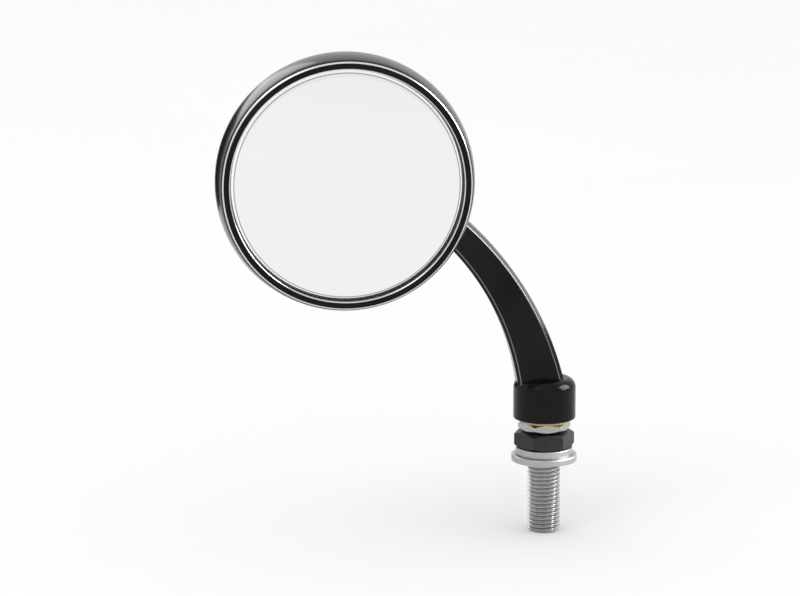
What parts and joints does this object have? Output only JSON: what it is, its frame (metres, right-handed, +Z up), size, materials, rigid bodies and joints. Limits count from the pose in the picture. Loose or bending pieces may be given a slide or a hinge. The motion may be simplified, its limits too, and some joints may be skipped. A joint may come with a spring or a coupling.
{
  "type": "motorcycle mirror",
  "caption": "Round black mirror on an arched, flat-faced arm, with a ball-jointed head and a swivelling foot on a threaded stud for a lever perch.",
  "frame": {"origin": "on the mounting stud's axis, in the plane where the seat washer meets the perch", "axes": "+Z up the stud; the glass looks along -Y; the head stands off towards -X"},
  "size_m": [0.111, 0.0455, 0.152],
  "materials": {
    "shell_black": "gloss black over a zinc-alloy casting",
    "arm_black": "gloss black over a zinc-alloy casting",
    "lip_black": "gloss black",
    "glass_mirror": "silvered convex glass with a ground edge",
    "foam_grey": "closed-cell foam",
    "backing_plastic": "moulded, matt",
    "liner_nylon": "natural nylon",
    "clamp_steel": "zinc plated",
    "ball_steel": "turned, bright",
    "stud_steel": "zinc plated thread",
    "washer_steel": "zinc plated",
    "black_steel": "black oxide, satin",
    "bush_bronze": "sintered bronze"
  },
  "bodies": {
    "mount": {"mounting_stud": "stud_steel", "seat_washer": "washer_steel", "lock_washer": "washer_steel", "jam_nut": "black_steel"},
    "arm": {"mirror_arm": "arm_black", "foot_bush": "bush_bronze", "foot_set_screw": "black_steel", "ball_stud": "ball_steel", "ball_screw": "black_steel", "ball_screw_washer": "washer_steel"},
    "pan_liner": {"rear_ball_liner": "liner_nylon"},
    "tilt_liner": {"front_ball_liner": "liner_nylon"},
    "head": {"head_shell": "shell_black", "clamp_plate": "clamp_steel", "clamp_screws": "washer_steel", "clamp_springs": "washer_steel", "backing_plate": "backing_plastic", "backing_screws": "washer_steel", "glass_pad": "foam_grey", "edge_seal": "foam_grey", "mirror_glass": "glass_mirror", "bezel_ring": "lip_black"}
  },
  "joints": [
    {"name": "arm_swivel", "type": "hinge", "parent": "mount", "child": "arm", "pos_m": [0, 0, 0.018], "axis": [0, 0, 1], "continuous": true},
    {"name": "head_pan", "type": "hinge", "parent": "arm", "child": "pan_liner", "pos_m": [-0.063, -0.0185, 0.092], "axis": [0, 0, 1], "range_deg": [-15, 15]},
    {"name": "head_tilt", "type": "hinge", "parent": "pan_liner", "child": "tilt_liner", "pos_m": [-0.063, -0.0185, 0.092], "axis": [1, 0, 0], "range_deg": [-15, 15]},
    {"name": "head_spin", "type": "hinge", "parent": "tilt_liner", "child": "head", "pos_m": [-0.063, -0.0185, 0.092], "axis": [0, 1, 0], "continuous": true}
  ]
}
